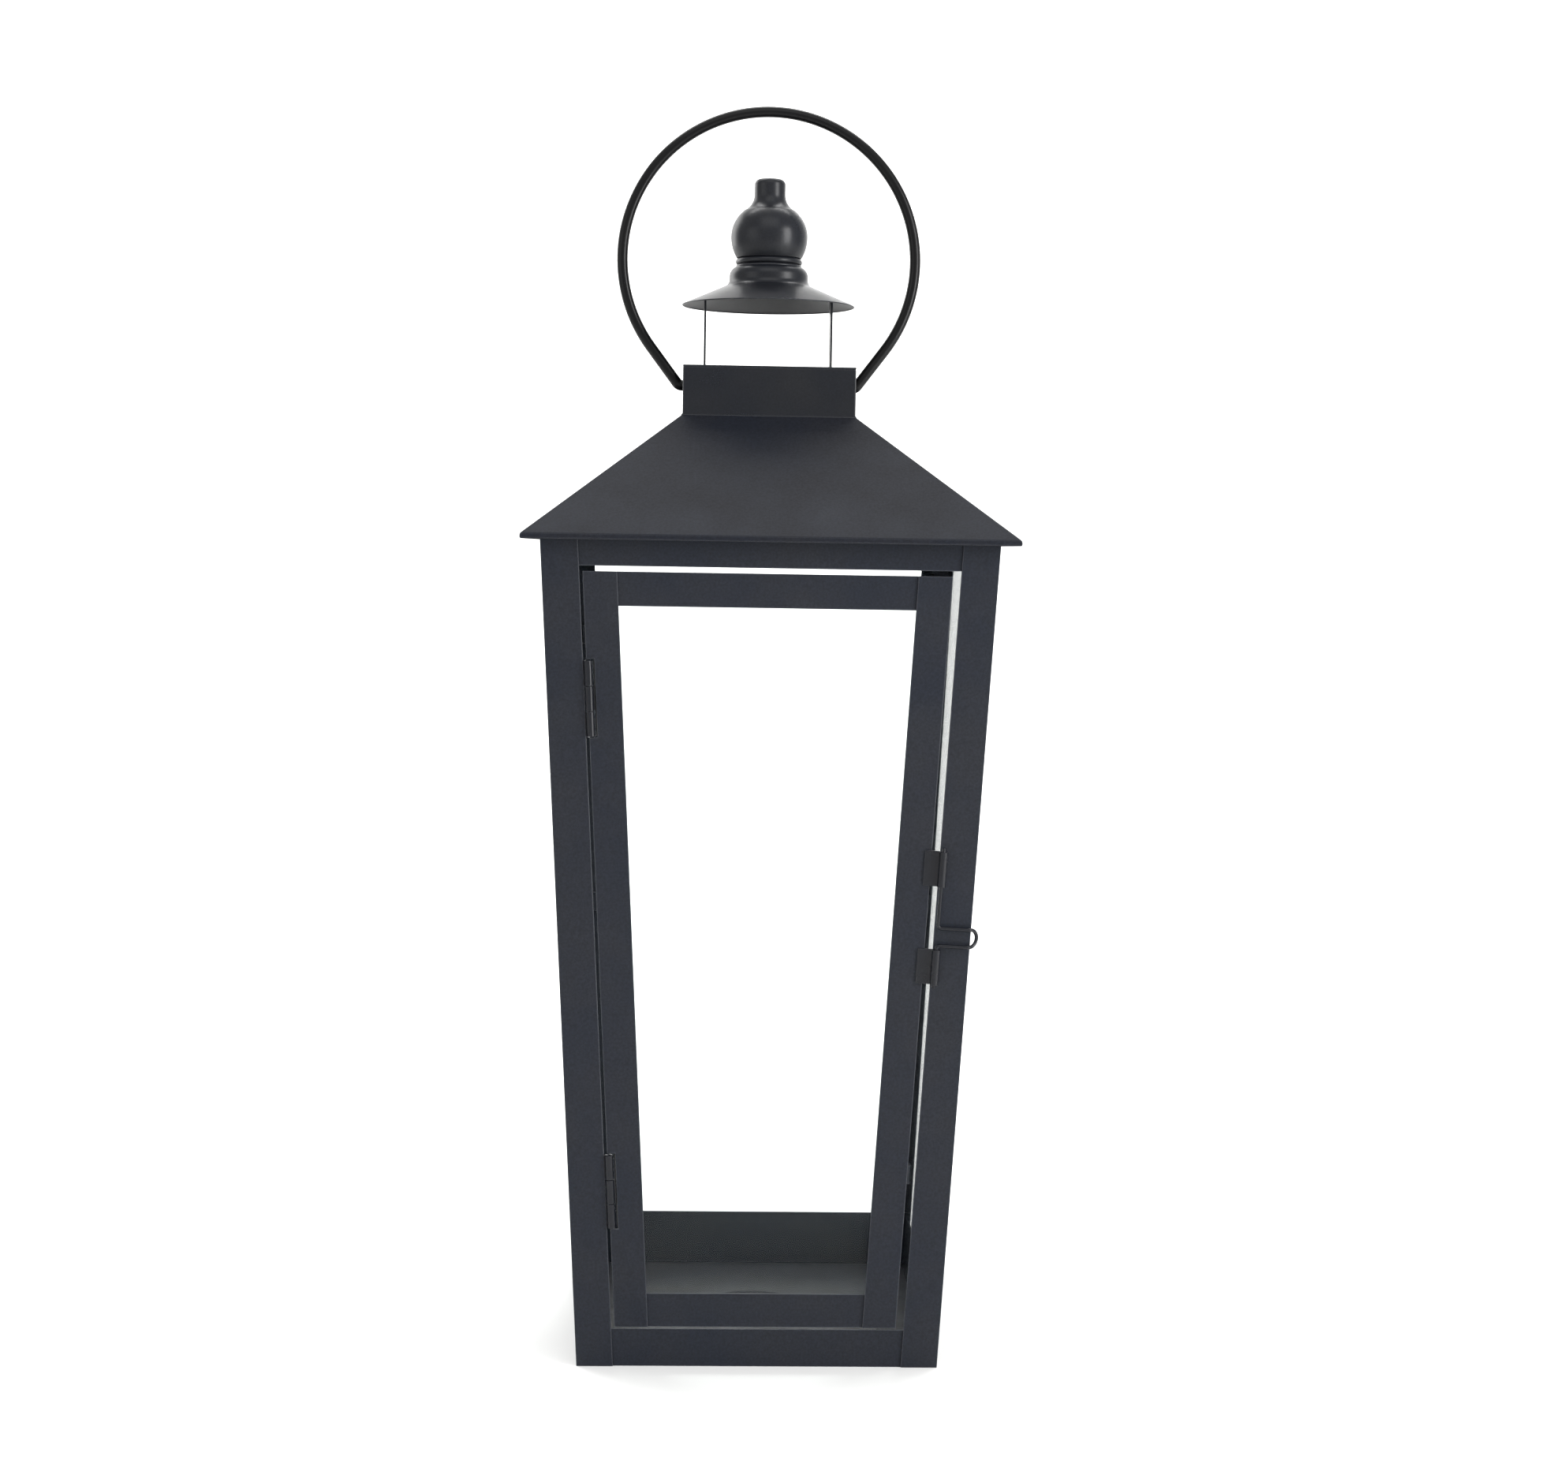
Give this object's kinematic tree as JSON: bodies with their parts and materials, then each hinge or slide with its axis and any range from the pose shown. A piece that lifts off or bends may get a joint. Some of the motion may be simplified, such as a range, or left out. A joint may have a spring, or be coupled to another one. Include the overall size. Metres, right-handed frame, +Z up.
{
  "type": "candle lantern",
  "caption": "Tapered square candle lantern with glazed sides, hinged front door with wire hasp, pyramid roof, vented cap with finial and swinging ring handle.",
  "frame": {"origin": "middle of the base, on the surface that the lantern stands on", "axes": "+Z up, -Y the front with the door, +X to the right seen from the front"},
  "size_m": [0.2312, 0.2312, 0.6108],
  "materials": {
    "frame_steel": "matte charcoal powder coat",
    "roof_steel": "matte charcoal powder coat",
    "cap_steel": "satin charcoal powder coat",
    "ring_steel": "satin near-black powder coat",
    "hardware_steel": "satin charcoal paint",
    "glass": "clear sheet glass"
  },
  "bodies": {
    "lantern": {"floor_plate": "frame_steel", "front_left_post": "frame_steel", "front_right_post": "frame_steel", "rear_left_post": "frame_steel", "rear_right_post": "frame_steel", "front_header": "frame_steel", "rear_header": "frame_steel", "left_header": "frame_steel", "right_header": "frame_steel", "front_sill": "frame_steel", "rear_sill": "frame_steel", "left_sill": "frame_steel", "right_sill": "frame_steel", "rear_glass": "glass", "left_glass": "glass", "right_glass": "glass", "rear_glass_clips": "frame_steel", "left_glass_clips": "frame_steel", "right_glass_clips": "frame_steel", "roof": "roof_steel", "collar": "cap_steel", "vent_plate": "cap_steel", "left_cap_strip": "cap_steel", "right_cap_strip": "cap_steel", "cap_strip_rivets": "cap_steel", "cap_skirt": "cap_steel", "finial": "cap_steel", "finial_bolt": "cap_steel", "upper_hinge_frame_leaf": "hardware_steel", "upper_hinge_pin": "hardware_steel", "lower_hinge_frame_leaf": "hardware_steel", "lower_hinge_pin": "hardware_steel"},
    "door": {"door_left_stile": "frame_steel", "door_right_stile": "frame_steel", "door_top_rail": "frame_steel", "door_bottom_rail": "frame_steel", "door_glass": "glass", "door_glass_clips": "frame_steel", "upper_hinge_door_leaf": "hardware_steel", "lower_hinge_door_leaf": "hardware_steel", "upper_latch_lug": "hardware_steel", "lower_latch_lug": "hardware_steel"},
    "latch": {"latch_hasp": "hardware_steel"},
    "handle": {"handle": "ring_steel"}
  },
  "joints": [
    {"name": "door_hinge", "type": "hinge", "parent": "lantern", "child": "door", "pos_m": [-0.07695, -0.09695, 0.2], "axis": [0.0511, 0.0511, -0.9974], "range_deg": [0, 175]},
    {"name": "latch_swing", "type": "hinge", "parent": "door", "child": "latch", "pos_m": [0.08175, -0.10015, 0.2195], "axis": [-0.0511, 0.0511, -0.9974], "range_deg": [0, 160]},
    {"name": "handle_swing", "type": "hinge", "parent": "lantern", "child": "handle", "pos_m": [0, 0, 0.4724], "axis": [1, 0, 0], "range_deg": [-114, 114]}
  ]
}
